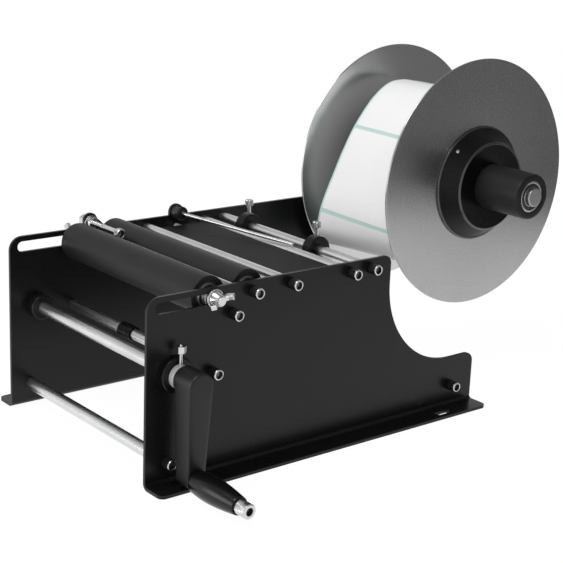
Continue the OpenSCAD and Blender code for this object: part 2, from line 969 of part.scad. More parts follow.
// Side view of the crank arm, hanging down from the shaft's axis
module arm_outline() {
    lean = asin((arm_root_r - arm_end_r) / crank_r);
    translate([shaft_y, shaft_z])
        circle(arm_root_r);
    translate([shaft_y, grip_z])
        circle(arm_end_r);
    translate([shaft_y, shaft_z])
        polygon([
            [-arm_root_r * cos(lean), -arm_root_r * sin(lean)],
            [arm_root_r * cos(lean), -arm_root_r * sin(lean)],
            [arm_end_r * cos(lean), -crank_r - arm_end_r * sin(lean)],
            [-arm_end_r * cos(lean), -crank_r - arm_end_r * sin(lean)]
        ]);
}

module crank_arm() {
    color(satin_black) at_origin()
        difference() {
            union() {
                side_x(arm_x0, arm_t)
                    arm_outline();
                turned_x(hub_x0, shaft_y, shaft_z, [
                    [0, 0], [0, hub_r], [hub_l - hub_edge, hub_r], [hub_l, hub_r - hub_edge],
                    [hub_l, 0]
                ]);
            }
            bar_x(hub_x0 - cut, hub_x0 + hub_l - hub_cover, thick_r + seat_gap, shaft_y, shaft_z);
            bar_x(arm_x1 - bolt_grab - hub_edge, arm_x1 + cut, bolt_r + seat_gap, shaft_y, grip_z);
        }
}

// Bush that the grip turns on, with its round head at the outer end
module grip_bush() {
    color(chrome) at_origin()
        difference() {
            turned_x(arm_x1, shaft_y, grip_z, [
                [0, 0], [0, bush_r], [bush_x1 - arm_x1, bush_r], [bush_x1 - arm_x1, bush_head_r],
                [bush_x1 - arm_x1 + bush_head_l, bush_head_r], [bush_x1 - arm_x1 + bush_head_l, 0]
            ]);
            bar_x(arm_x1 - cut, bush_x1 + bush_head_l + cut, bolt_r + seat_gap, shaft_y, grip_z);
        }
}

// Radius of the grip at a share of its length
function grip_radius(share) =
    grip_root_r + (grip_tip_r - grip_root_r) * share + grip_swell * sin(180 * pow(share, 0.85));

module crank_grip() {
    color(satin_black) at_origin()
        difference() {
            turned_x(arm_x1 + face_gap, shaft_y, grip_z, concat(
                [[0, 0], [0, grip_root_r - grip_edge]],
                [for (i = [1:grip_steps - 1]) [grip_l * i / grip_steps, grip_radius(i / grip_steps)]],
                [[grip_l, grip_tip_r - grip_edge], [grip_l, 0]]
            ));
            bar_x(arm_x1, arm_x1 + grip_l + 2 * face_gap + cut, bush_r + turn_gap, shaft_y, grip_z);
        }
}

module grip_bolt() {
    color(steel) at_origin()
        translate([bush_x1 + bush_head_l, shaft_y, grip_z])
            socket_screw(bolt_head_r, bolt_head_h, bolt_r,
                bush_x1 + bush_head_l - arm_x1 + bolt_grab, bolt_hex, bolt_hex_depth);
}

// Rubber sleeve of a bottle roller
module roller_sleeve(y) {
    color(rubber) at_origin()
        bevelled_ring(-roller_l / 2, roller_l, roller_r, core_r + seat_gap, roller_edge, y, roller_z);
}

// Steel tube inside a roller
module roller_core(y) {
    color(bright_steel) at_origin()
        tube_x(-roller_l / 2, roller_l / 2, core_r, bearing_r + seat_gap, y, roller_z);
}

// The two ball bearings of a roller, each as one ring
module roller_bearings(y) {
    color(steel) at_origin() {
        tube_x(-roller_l / 2, -roller_l / 2 + bearing_w, bearing_r, axle_r + turn_gap, y, roller_z);
        tube_x(roller_l / 2 - bearing_w, roller_l / 2, bearing_r, axle_r + turn_gap, y, roller_z);
    }
}

// The two spacers that keep a roller in the middle of its axle
module axle_spacers(y) {
    color(chrome) at_origin() {
        tube_x(-x_in + turn_gap, -roller_l / 2 - face_gap, spacer_r, axle_r + seat_gap, y, roller_z);
        tube_x(roller_l / 2 + face_gap, x_in - turn_gap, spacer_r, axle_r + seat_gap, y, roller_z);
    }
}

module front_roller_sleeve() {
    roller_sleeve(front_roller_y);
}

module front_roller_core() {
    roller_core(front_roller_y);
}

module front_roller_bearings() {
    roller_bearings(front_roller_y);
}

module front_axle_spacers() {
    axle_spacers(front_roller_y);
}

module rear_roller_sleeve() {
    roller_sleeve(rear_roller_y);
}

module rear_roller_core() {
    roller_core(rear_roller_y);
}

module rear_roller_bearings() {
    roller_bearings(rear_roller_y);
}

module rear_axle_spacers() {
    axle_spacers(rear_roller_y);
}

module rear_roller_shaft() {
    color(chrome) at_origin()
        guide_rod(axle_r, rear_roller_y, roller_z);
}

// Front axle with a threaded neck through the slot at each end
module front_roller_shaft() {
    shoulder = x_in - turn_gap;
    color(chrome) at_origin() {
        bar_x(-shoulder, shoulder, axle_r, front_roller_y, roller_z);
        bar_x(-x_out - neck_out, -shoulder, axle_neck_r, front_roller_y, roller_z);
        bar_x(shoulder, x_out + neck_out, axle_neck_r, front_roller_y, roller_z);
    }
}

module front_axle_washers() {
    color(steel) at_origin()
        for (side = [0, 1])
            mirror([side, 0, 0])
                tube_x(x_out + turn_gap, x_out + washer_t, axle_washer_r, axle_neck_r + seat_gap,
                    front_roller_y, roller_z);
}

// Wing nut with its seat at x 0 and its wings along 2D x
module wing_nut(turn) {
    across = wing_w * cos(wing_lean);
    along = wing_w * sin(wing_lean);
    difference() {
        union() {
            turned_x(0, 0, 0, [
                [0, 0], [0, wing_boss_r], [wing_boss_h, wing_boss_top_r], [wing_boss_h, 0]
            ]);
            rotate([turn, 0, 0])
                translate([0, 0, -wing_t / 2])
                    linear_extrude(wing_t)
                        for (side = [-1, 1])
                            polygon([
                                [wing_root_x, 0], [wing_root_x, side * wing_root_r],
                                [wing_knee_x, side * wing_knee_r],
                                [wing_tip_x, side * wing_tip_r],
                                [wing_tip_x + along, side * (wing_tip_r - across)],
                                [wing_knee_x + along, side * (wing_knee_r - across)],
                                [wing_root_x + along, 0]
                            ]);
        }
        bar_x(-cut, 2 * wing_tip_x, axle_neck_r + turn_gap, 0, 0);
    }
}

module right_wing_nut() {
    color(steel) at_origin()
        translate([x_out + washer_t + turn_gap, front_roller_y, roller_z])
            wing_nut(right_wing_turn);
}

module left_wing_nut() {
    color(steel) at_origin()
        mirror([1, 0, 0])
            translate([x_out + washer_t + turn_gap, front_roller_y, roller_z])
                wing_nut(left_wing_turn);
}

// Fixed shaft of the reel, with the flange that seats on the left plate
module reel_shaft() {
    x1 = reel_tube_x1 - reel_recess + face_gap;
    color(bright_steel) at_origin()
        difference() {
            union() {
                bar_x(-x_in, -x_in + reel_flange_t, reel_flange_r, reel_y, reel_z);
                bar_x(-x_in, x1, reel_shaft_r, reel_y, reel_z);
            }
            bar_x(-x_in - cut, -x_in + reel_bolt_l, reel_bolt_r + seat_gap, reel_y, reel_z);
            bar_x(x1 - cap_pin_l - cut, x1 + cut, cap_pin_r + seat_gap, reel_y, reel_z);
        }
}

// Hexagon bolt and washer that hold the reel's shaft from outside
module reel_shaft_bolt() {
    color(steel) at_origin()
        translate([-x_out, reel_y, reel_z]) {
            bar_x(-reel_washer_t, 0, reel_washer_r, 0, 0);
            hex_x(-reel_washer_t - reel_bolt_head_h, -reel_washer_t, reel_bolt_af);
            bar_x(-reel_washer_t, reel_bolt_l, reel_bolt_r, 0, 0);
        }
}

module reel_end_cap() {
    color(chrome) at_origin()
        turned_x(reel_tube_x1 - reel_recess + face_gap, reel_y, reel_z, [
            [-cap_pin_l, 0], [-cap_pin_l, cap_pin_r], [0, cap_pin_r], [0, cap_r],
            [cap_t - screw_edge, cap_r], [cap_t, cap_r - screw_edge], [cap_t, 0]
        ]);
}

// Tube that turns on the reel's shaft, bored out at each end for a bearing
module reel_tube() {
    pocket = reel_recess + reel_bearing_w;
    color(satin_black) at_origin()
        difference() {
            turned_x(reel_tube_x0, reel_y, reel_z, [
                [0, 0], [0, reel_tube_r], [reel_tube_x1 - reel_tube_x0 - collar_edge, reel_tube_r],
                [reel_tube_x1 - reel_tube_x0, reel_tube_r - collar_edge],
                [reel_tube_x1 - reel_tube_x0, 0]
            ]);
            bar_x(reel_tube_x0 - cut, reel_tube_x1 + cut, reel_tube_bore_r, reel_y, reel_z);
            bar_x(reel_tube_x0 - cut, reel_tube_x0 + pocket, reel_bearing_r + seat_gap, reel_y, reel_z);
            bar_x(reel_tube_x1 - pocket, reel_tube_x1 + cut, reel_bearing_r + seat_gap, reel_y, reel_z);
        }
}

module reel_bearings() {
    color(bright_steel) at_origin()
        for (x = [reel_tube_x0 + reel_recess, reel_tube_x1 - reel_recess - reel_bearing_w])
            tube_x(x, x + reel_bearing_w, reel_bearing_r, reel_shaft_r + turn_gap, reel_y, reel_z);
}

module far_disc() {
    color(satin_grey) at_origin()
        bevelled_ring(far_disc_x, disc_t, disc_r, reel_tube_r + seat_gap, disc_edge, reel_y, reel_z);
}

module near_disc() {
    color(satin_grey) at_origin()
        bevelled_ring(near_disc_x, disc_t, disc_r, spigot_r + seat_gap, disc_edge, reel_y, reel_z);
}

// Hub with a lip, a cone and a flat round face
module hub_body(x0, h, y, z) {
    turned_x(x0, y, z, [
        [0, 0], [0, hub_lip_r], [hub_lip_t, hub_lip_r], [hub_lip_t, hub_cone_r],
        [hub_h - hub_edge_r, hub_boss_r + hub_edge_r], [hub_h, hub_boss_r],
        [h - hub_edge_r, hub_boss_r], [h, hub_boss_r - hub_edge_r], [h, 0]
    ]);
}

// Far hub, which the label roll stands against, with the spigot that carries the roll
module far_hub() {
    x0 = far_disc_x + disc_t;
    color(satin_black) at_origin()
        difference() {
            union() {
                hub_body(x0, far_hub_h, reel_y, reel_z);
                bar_x(x0, x0 + far_hub_h + spigot_l, spigot_r, reel_y, reel_z);
            }
            bar_x(x0 - cut, x0 + far_hub_h + spigot_l + cut, reel_tube_r + seat_gap, reel_y, reel_z);
        }
}

// Near hub, which slides on the tube and closes the roll in
module near_hub() {
    x0 = near_disc_x + disc_t;
    color(satin_black) at_origin()
        difference() {
            union() {
                turned_x(x0, reel_y, reel_z, [
                    [0, 0], [0, hub_lip_r], [hub_lip_t, hub_lip_r], [hub_lip_t, hub_cone_r],
                    [hub_h - hub_edge_r, hub_boss_r + hub_edge_r], [hub_h, hub_boss_r], [hub_h, 0]
                ]);
                bar_x(x0 - disc_t - spigot_l, x0, spigot_r, reel_y, reel_z);
            }
            bar_x(x0 - disc_t - spigot_l - cut, x0 + hub_h + cut, reel_tube_r + turn_gap, reel_y, reel_z);
            translate([x0 + hub_screw_out, reel_y, reel_z])
                rotate([hub_screw_turn, 0, 0])
                    rotate([-90, 0, 0])
                        cylinder(h = hub_lip_r, r = hub_screw_r);
        }
}

// Card tube that the labels are wound on
module label_core() {
    color(card) at_origin()
        tube_x(roll_x0 + turn_gap, roll_x1, core_out_r, core_in_r, reel_y, reel_z);
}

// Wound labels
module label_roll() {
    color(paper) at_origin()
        tube_x(roll_x0 + turn_gap, roll_x1, roll_r, core_out_r + seat_gap, reel_y, reel_z);
}

// Point on the loose turn between four neighbouring points
function web_point(p, i, t) =
    let (a = p[i - 1], b = p[i], c = p[i + 1], d = p[i + 2])
    0.5 * (2 * b + (c - a) * t + (2 * a - 5 * b + 4 * c - d) * t ^ 2
        + (3 * b - a - 3 * c + d) * t ^ 3);

function unit(v) = v / norm(v);

// Side view of the loose turn, as a strip of even thickness
module web_outline() {
    last = len(web_points) - 3;
    line = [for (i = [1:last], s = [0:web_steps - 1]) web_point(web_points, i, s / web_steps)];
    n = len(line);
    normals = [for (k = [0:n - 1])
        let (d = unit(line[min(k + 1, n - 1)] - line[max(k - 1, 0)])) [d[1], -d[0]]];
    polygon(concat(
        line,
        [for (k = [n - 1:-1:0]) line[k] - web_t * normals[k]]
    ));
}

module label_web() {
    color(paper) at_origin()
        side_x(roll_x0 + face_gap, roll_w - face_gap)
            translate([reel_y, reel_z])
                web_outline();
}

left_side_plate();
right_side_plate();
front_lower_rod();
rear_lower_rod();
lower_guide_rod();
under_roller_rod();
peel_rod();
inner_guide_rod();
outer_guide_rod();
rod_screws();
roller_gap_strip();
peel_table();
peel_table_studs();
lower_guide_collar();
left_guide_collar();
right_guide_collar();
left_thumb_screw();
right_thumb_screw();
stop_screw();
stop_inner_nut();
stop_outer_nut();
stop_washer();
press_rod_holder();
press_rod_pin();
press_rod();
drive_shaft();
left_shaft_bearing();
right_shaft_bearing();
shaft_clip();
shaft_collar();
collar_screw();
crank_arm();
grip_bush();
crank_grip();
grip_bolt();
front_roller_shaft();
front_roller_core();
front_roller_sleeve();
front_roller_bearings();
front_axle_spacers();
front_axle_washers();
left_wing_nut();
right_wing_nut();
rear_roller_shaft();
rear_roller_core();
rear_roller_sleeve();
rear_roller_bearings();
rear_axle_spacers();
reel_shaft();
reel_shaft_bolt();
reel_end_cap();
reel_tube();
reel_bearings();
far_disc();
far_hub();
near_disc();
near_hub();
label_core();
label_roll();
label_web();
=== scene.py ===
import json
import math

import bmesh
import bpy
from mathutils import Matrix, Vector


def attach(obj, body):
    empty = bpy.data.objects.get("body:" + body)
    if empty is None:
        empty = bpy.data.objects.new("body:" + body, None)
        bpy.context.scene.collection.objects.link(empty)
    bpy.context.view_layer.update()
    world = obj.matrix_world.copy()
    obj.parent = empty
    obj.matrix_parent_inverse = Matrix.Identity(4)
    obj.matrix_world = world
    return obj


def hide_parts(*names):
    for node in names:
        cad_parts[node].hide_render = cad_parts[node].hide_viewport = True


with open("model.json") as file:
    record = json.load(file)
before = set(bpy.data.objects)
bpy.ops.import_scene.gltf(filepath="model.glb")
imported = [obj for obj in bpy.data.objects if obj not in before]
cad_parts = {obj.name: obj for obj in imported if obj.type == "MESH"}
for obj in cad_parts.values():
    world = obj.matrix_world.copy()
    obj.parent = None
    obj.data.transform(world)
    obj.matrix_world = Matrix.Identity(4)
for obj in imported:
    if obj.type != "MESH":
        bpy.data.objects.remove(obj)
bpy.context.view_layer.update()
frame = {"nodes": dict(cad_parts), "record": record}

MM = 0.001
NODES = frame["nodes"]
BODY_OF = {n: b for b, ns in frame["record"]["behaviour"]["bodies"].items() for n in ns}
SLOT_OF = {s["node"]: s["material_slot"] for s in frame["record"]["subparts"]}

# Lengths are in mm in the side plates' own frame: X from the middle between the plates towards the
# crank, Y from the plates' front edge to the back, Z up from the table
SHIFT = Vector((-41.3, -298.9, 0))       # from the side plates' own frame to the machine's origin

# Axes along X, as (y, z)
REEL = (468.3, 199.1)
FRONT_ROLLER = (68, 158)
REAR_ROLLER = (109, 158)
CRANK = (28.8, 98.4)
GRIP = (28.8, 14.4)
STOP = (87, 172.4)
ROD_PLACES = [(20.9, 21.1), (360.3, 22.4), (67.3, 92.9), (87.5, 141.7), REAR_ROLLER, (151.5, 158.8),
              (221.1, 158), (245.3, 159)]
COLLAR_ROD_Y = 245.3
PLATE_X = 116                            # outer face of a side plate


def P(x, y, z):
    """A point of the side plates' own frame, in metres from the machine's origin."""
    return (Vector((x, y, z)) + SHIFT) * MM


# Camera, fitted to the photo
PHOTO_WIDTH = 563
FOCAL_PIXELS = 1419.75
SENSOR = 36
CAMERA_PLACE = Vector((0.9896, -0.9124, 0.5034))
CAMERA_TARGET = Vector((0.0747, -0.15935, 0.16205))
CAMERA_ROLL = 0.04018


def set_camera():
    scene = bpy.context.scene
    cam = bpy.data.objects.new("camera", bpy.data.cameras.new("camera"))
    scene.collection.objects.link(cam)
    cam.data.sensor_width = SENSOR
    cam.data.lens = SENSOR * FOCAL_PIXELS / PHOTO_WIDTH
    back = (CAMERA_PLACE - CAMERA_TARGET).normalized()
    right = Vector((0, 0, 1)).cross(back).normalized()
    up = back.cross(right)
    turn, lift = math.cos(CAMERA_ROLL), math.sin(CAMERA_ROLL)
    axes = (right * turn + up * lift, up * turn - right * lift, back, CAMERA_PLACE)
    cam.matrix_world = Matrix([[axis[i] for axis in axes] for i in range(3)] + [[0, 0, 0, 1]])
    scene.camera = cam
    scene.view_settings.view_transform = "Standard"


set_camera()


# Materials
# The part of a noise's values over which a colour or roughness changes
NOISE_LOW, NOISE_HIGH = 0.3, 0.7
NOISE_ROUGHNESS = 0.6
SLOW_DETAIL, FINE_DETAIL = 4, 3


class Tree:
    """A short way to write a material's nodes."""

    def __init__(self, name):
        self.mat = bpy.data.materials.new(name)
        self.mat.use_nodes = True
        self.nodes = self.mat.node_tree.nodes
        self.nodes.clear()

    def add(self, kind, **settings):
        node = self.nodes.new("ShaderNode" + kind)
        for key, value in settings.items():
            setattr(node, key, value)
        return node

    def link(self, a, b):
        self.mat.node_tree.links.new(a, b)

    def coords(self, stretch=(1, 1, 1)):
        m = self.add("Mapping")
        m.inputs["Scale"].default_value = stretch
        self.link(self.add("TexCoord").outputs["Object"], m.inputs["Vector"])
        return m.outputs["Vector"]

    def noise(self, vec, scale, detail=SLOW_DETAIL):
        n = self.add("TexNoise")
        n.inputs["Scale"].default_value = scale
        n.inputs["Detail"].default_value = detail
        n.inputs["Roughness"].default_value = NOISE_ROUGHNESS
        self.link(vec, n.inputs["Vector"])
        return n.outputs["Fac"]

    def rings(self, scale, distortion):
        """Fine rings round the X axis of the piece's own origin."""
        w = self.add("TexWave", wave_type="RINGS", rings_direction="X")
        w.inputs["Scale"].default_value = scale
        w.inputs["Distortion"].default_value = distortion
        self.link(self.coords(), w.inputs["Vector"])
        return w.outputs["Fac"]

    def range(self, fac, low, high):
        r = self.add("MapRange")
        for key, value in (("From Min", NOISE_LOW), ("From Max", NOISE_HIGH), ("To Min", low),
                           ("To Max", high)):
            r.inputs[key].default_value = value
        self.link(fac, r.inputs["Value"])
        return r.outputs["Result"]

    def mix(self, fac, a, b):
        m = self.add("Mix", data_type="RGBA")
        sockets = {s.name: s for s in m.inputs if s.type == "RGBA"}
        sockets["A"].default_value = (*a, 1)
        sockets["B"].default_value = (*b, 1)
        self.link(fac, next(s for s in m.inputs if s.name == "Factor" and s.type == "VALUE"))
        return next(s for s in m.outputs if s.type == "RGBA")

    def bump(self, height, strength, dist):
        b = self.add("Bump")
        b.inputs["Strength"].default_value = strength
        b.inputs["Distance"].default_value = dist
        self.link(height, b.inputs["Height"])
        return b.outputs["Normal"]

    def finish(self, shader):
        self.link(shader.outputs[0], self.add("OutputMaterial").inputs["Surface"])
        return self.mat


def finish_mat(name, low, high, rough, metal=0.0, blotch=30, grain=2500, stretch=(1, 1, 1),
               bump=0.15, depth=0.00004, spec=0.5):
    """A painted, moulded, turned or ground finish: its colour changes slowly between low and high,
    and a fine grain, which stretch can draw out, is in its roughness and bump."""
    t = Tree(name)
    slow = t.noise(t.coords(), blotch)
    grains = t.noise(t.coords(stretch), grain, FINE_DETAIL)
    b = t.add("BsdfPrincipled")
    b.inputs["Metallic"].default_value = metal
    b.inputs["Specular IOR Level"].default_value = spec
    t.link(t.mix(t.range(slow, 0, 1), low, high), b.inputs["Base Color"])
    t.link(t.range(grains, *rough), b.inputs["Roughness"])
    t.link(t.bump(grains, bump, depth), b.inputs["Normal"])
    return t.finish(b)


SPUN_BLOTCH, SPUN_GRAIN = 9, 1400
SPUN_RINGS, SPUN_DISTORTION = 500, 1
SPUN_BUMP, SPUN_DEPTH = 0.004, 0.00001
QUARTER_TURN = 0.25                      # highlights fan out from the axis


def spun_mat(name, low, high, rough, aniso):
    """Sheet metal brushed in circles round the reel's axis."""
    t = Tree(name)
    slow = t.noise(t.coords(), SPUN_BLOTCH)
    grains = t.noise(t.coords(), SPUN_GRAIN, FINE_DETAIL)
    b = t.add("BsdfPrincipled")
    b.inputs["Metallic"].default_value = 1.0
    b.inputs["Anisotropic"].default_value = aniso
    b.inputs["Anisotropic Rotation"].default_value = QUARTER_TURN
    t.link(t.add("Tangent", direction_type="RADIAL", axis="X").outputs[0], b.inputs["Tangent"])
    t.link(t.mix(t.range(slow, 0, 1), low, high), b.inputs["Base Color"])
    t.link(t.range(grains, *rough), b.inputs["Roughness"])
    t.link(t.bump(t.rings(SPUN_RINGS, SPUN_DISTORTION), SPUN_BUMP, SPUN_DEPTH), b.inputs["Normal"])
    return t.finish(b)


WOUND_RINGS, WOUND_DISTORTION, WOUND_ROUGH = 900, 0.4, 0.8
WOUND_LOW, WOUND_HIGH = (0.8, 0.81, 0.8), (0.9, 0.905, 0.9)
WOUND_BUMP, WOUND_DEPTH = 0.3, 0.00005


def wound_mat(name):
    """The cut edges of a wound strip: fine rings."""
    t = Tree(name)
    turns = t.rings(WOUND_RINGS, WOUND_DISTORTION)
    b = t.add("BsdfPrincipled")
    b.inputs["Roughness"].default_value = WOUND_ROUGH
    t.link(t.mix(turns, WOUND_LOW, WOUND_HIGH), b.inputs["Base Color"])
    t.link(t.bump(turns, WOUND_BUMP, WOUND_DEPTH), b.inputs["Normal"])
    return t.finish(b)


def grey(value, tint=0.0):
    """A grey, a little towards blue by its tint."""
    return (value * (1 - tint), value, value * (1 + tint))


DRAWN = (0.02, 1, 1)                     # grain drawn out along X
M = {
    "black_paint": finish_mat("black_powder_coat", grey(0.0065), grey(0.009), (0.26, 0.34),
                              grain=900, bump=0.25, depth=0.00005, spec=0.26),
    "grey_paint": finish_mat("matt_dark_paint", grey(0.006), grey(0.009), (0.5, 0.6), grain=1200,
                             bump=0.2, spec=0.12),
    "chrome_rod": finish_mat("ground_rod", grey(0.66, 0.005), grey(0.76, 0.005), (0.24, 0.36), 1.0,
                             stretch=DRAWN, grain=1500, bump=0.25, depth=0.00006),
    "screw_steel": finish_mat("bright_fastener", grey(0.6), grey(0.72), (0.18, 0.3), 1.0,
                              blotch=200, bump=0.12),
    "bright_steel": finish_mat("turned_steel", grey(0.42), grey(0.5), (0.3, 0.4), 1.0, grain=1500,
                               bump=0.1),
    "black_plastic": finish_mat("moulded_black", grey(0.003), grey(0.005), (0.24, 0.32), grain=2200,
                                bump=0.12, spec=0.2),
    "crank_black": finish_mat("crank_black", grey(0.009), grey(0.012), (0.36, 0.44), grain=1500,
                              bump=0.25, spec=0.34),
    "grip_black": finish_mat("grip_black", grey(0.003), grey(0.005), (0.22, 0.28), grain=1500,
                             bump=0.12, spec=0.3),
    "roller_rubber": finish_mat("ground_rubber", grey(0.012), grey(0.017), (0.42, 0.54), grain=1800,
                                stretch=(3, 1, 1), bump=0.3, depth=0.00006, spec=0.22),
    "black_tube": finish_mat("anodised_black", grey(0.017), grey(0.021), (0.36, 0.46),
                             stretch=DRAWN, grain=1500, bump=0.2, spec=0.2),
    "disc_grey": spun_mat("brushed_grey", grey(0.43), grey(0.46), (0.25, 0.3), 0.6),
    "card": finish_mat("wound_card", (0.4, 0.28, 0.17), (0.5, 0.37, 0.24), (0.8, 0.9), grain=1500,
                       bump=0.4),
    "label_paper": finish_mat("label_paper", (0.91, 0.915, 0.91), (0.935, 0.935, 0.932),
                              (0.45, 0.55), grain=3000, bump=0.08, spec=0.4),
}
LINER = finish_mat("teal_liner", (0.50, 0.70, 0.665), (0.56, 0.745, 0.715), (0.3, 0.4), grain=3000,
                   bump=0.08)
# Black oxide on the rod screws' knurled barrels and on the press rod's holder; in the screws'
# sockets this dark is painted shade
SCREW_DARK = finish_mat("oxide_black_and_socket_shade", grey(0.02), grey(0.03), (0.3, 0.4), 0.3, blotch=300,
                        bump=0.15)
# Lighter and glossier than the hub's black plastic, for the hub's lip and rim: a painted highlight
# line
RIM_HIGHLIGHT = finish_mat("rim_painted_highlight", grey(0.012), grey(0.018), (0.2, 0.28), blotch=200, bump=0.1,
                       spec=1.0)
DULL = finish_mat("dull_tube", grey(0.08), grey(0.12), (0.45, 0.55), 1.0, blotch=200, bump=0.15)
# A lighter copy of the discs' brushed grey for the far disc alone: its lighter colour is painted
# light
FAR_DISC_LIT = spun_mat("brushed_grey_far_lit", grey(0.6), grey(0.66), (0.22, 0.26), 0.25)
SEAL = finish_mat("bearing_seal", grey(0.02), grey(0.028), (0.4, 0.5), blotch=300, bump=0.15)
ALU = finish_mat("mill_aluminium", grey(0.7), grey(0.78), (0.42, 0.55), 0.4, stretch=(0.05, 1, 1),
                 grain=1200, bump=0.3, depth=0.00006)
WOUND = wound_mat("wound_labels")
SCREW_MATS = (M["screw_steel"], SCREW_DARK, M["bright_steel"])


# Helpers for pieces
# Edges sharper than this many degrees stay sharp in the shading
SMOOTH_MOST, SMOOTH_MORE, SMOOTH_LESS, SMOOTH_LEAST = 40, 35, 30, 28
BEVEL_ANGLE = 28                         # degrees; flatter edges stay as they are
SAME_POINT = 1e-6                        # metres
FLAT_ANGLE = 1.0                         # degrees
done = set()                             # nodes that have their visible piece


def put(obj, node, mats=None):
    """Gives a piece its materials, by default the one of its node's material slot, and its body, in
    the place of its CAD node.
    """
    for m in mats or (M[SLOT_OF[node]],):
        obj.data.materials.append(m)
    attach(obj, BODY_OF[node])
    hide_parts(node)
    done.add(node)


def smooth(mesh, angle):
    """Smooth shading, apart from edges sharper than the angle in degrees."""
    for p in mesh.polygons:
        p.use_smooth = True
    mesh.set_sharp_from_angle(angle=math.radians(angle))


def linked(name, mesh):
    obj = bpy.data.objects.new(name, mesh)
    bpy.context.scene.collection.objects.link(obj)
    return obj


def as_object(name, bm, angle=SMOOTH_MORE):
    bmesh.ops.recalc_face_normals(bm, faces=bm.faces)
    mesh = bpy.data.meshes.new(name)
    bm.to_mesh(mesh)
    bm.free()
    smooth(mesh, angle)
    return linked(name, mesh)


def dressed(node, width, segments, mats=None, centre=None):
    """The CAD node's own form with hard edges rounded; centre is the piece's own origin."""
    mesh = NODES[node].data.copy()
    mesh.materials.clear()
    bm = bmesh.new()
    bm.from_mesh(mesh)
    bmesh.ops.remove_doubles(bm, verts=bm.verts, dist=SAME_POINT)
    bmesh.ops.dissolve_limit(bm, angle_limit=math.radians(FLAT_ANGLE), verts=bm.verts,
                             edges=bm.edges)
    bm.to_mesh(mesh)
    bm.free()
    for name in ("custom_normal", "sharp_edge"):
        if name in mesh.attributes:
            mesh.attributes.remove(mesh.attributes[name])
    obj = linked(node + "_dressed", mesh)
    if centre:
        mesh.transform(Matrix.Translation(-centre))
        obj.location = centre
    smooth(mesh, SMOOTH_MOST)
    edges = obj.modifiers.new("edges", "BEVEL")
    edges.width = width * MM
    edges.segments = segments
    edges.limit_method = "ANGLE"
    edges.angle_limit = math.radians(BEVEL_ANGLE)
    edges.use_clamp_overlap = True
    obj.modifiers.new("normals", "WEIGHTED_NORMAL").keep_sharp = True
    put(obj, node, mats)


def cast(node, bm, voxel, rounds):
    """A casting: the form remeshed fine, with this voxel in mm, and smoothed this many rounds."""
    obj = as_object(node + "_cast", bm)
    skin = obj.modifiers.new("skin", "REMESH")
    skin.mode = "VOXEL"
    skin.voxel_size = voxel * MM
    skin.use_smooth_shade = True
    soften = obj.modifiers.new("soften", "SMOOTH")
    soften.factor = 0.5
    soften.iterations = rounds
    put(obj, node)


def hex_r(across):
    """Radius of a hexagon with this distance across its flats, as a function of the angle."""
    sixth = math.pi / 3
    return lambda a, k: across / 2 / math.cos((a + sixth / 2) % sixth - sixth / 2)


def knurl(r, depth=0.2):
    """Radius of a straight knurl: every second line of points lies deeper."""
    return lambda a, k: r - depth * (k % 2)


def along_x(y, z, x0=0, side=1):
    """Puts a turned form's axis along X, or mirrored to the left with side -1."""
    return lambda u, p, q: P(side * (x0 + u), y + p, z + q)


def along_z(x, y, z0):
    """Puts a turned form's axis upright."""
    return lambda u, p, q: P(x + p, y + q, z0 + u)


def outward(x, y, z, angle):
    """Puts a turned form's axis square to the line along X through (y, z), at an angle round it."""
    c, s = math.cos(angle), math.sin(angle)
    return lambda u, p, q: P(x + p, y + u * c - q * s, z + u * s + q * c)


def soft(profile, steps=4):
    """Rounds a profile's corners: a fourth number in a point is the radius of its corner."""
    out = []
    for i, p in enumerate(profile):
        if len(p) < 4:
            out.append(p)
            continue
        a, b, c = (Vector(profile[j % len(profile)][:2]) for j in (i - 1, i, i + 1))
        da, dc = (a - b).normalized(), (c - b).normalized()
        half = da.angle(dc) / 2
        mid = b + (da + dc).normalized() * (p[3] / math.sin(half))
        first, last = (b + d * (p[3] / math.tan(half)) - mid for d in (da, dc))
        for k in range(steps + 1):
            v = mid + first.lerp(last, k / steps).normalized() * p[3]
            out.append((v.x, v.y, p[2]))
    return out


def turned(bm, profile, at, seg=96, loop=False):
    """Adds a turned form. Its profile's points are (length, radius or its function, material of the
    face before); with loop the last point joins the first."""
    rings = []
    for u, r, _ in profile:
        if r == 0:
            rings.append([bm.verts.new(at(u, 0, 0))])
            continue
        ring = []
        for k in range(seg):
            a = 2 * math.pi * k / seg
            rr = r(a, k) if callable(r) else r
            ring.append(bm.verts.new(at(u, rr * math.cos(a), rr * math.sin(a))))
        rings.append(ring)
    steps = list(zip(rings, rings[1:], [p[2] for p in profile[1:]]))
    if loop:
        steps.append((rings[-1], rings[0], profile[0][2]))
    for a, b, mat in steps:
        for k in range(seg):
            n = (k + 1) % seg
            va = a if len(a) == 1 else [a[k], a[n]]
            vb = b if len(b) == 1 else [b[n], b[k]]
            bm.faces.new(va + vb).material_index = mat


# Screws
BRIGHT, DARK, SOCKET_FLOOR = 0, 1, 2     # places in SCREW_MATS


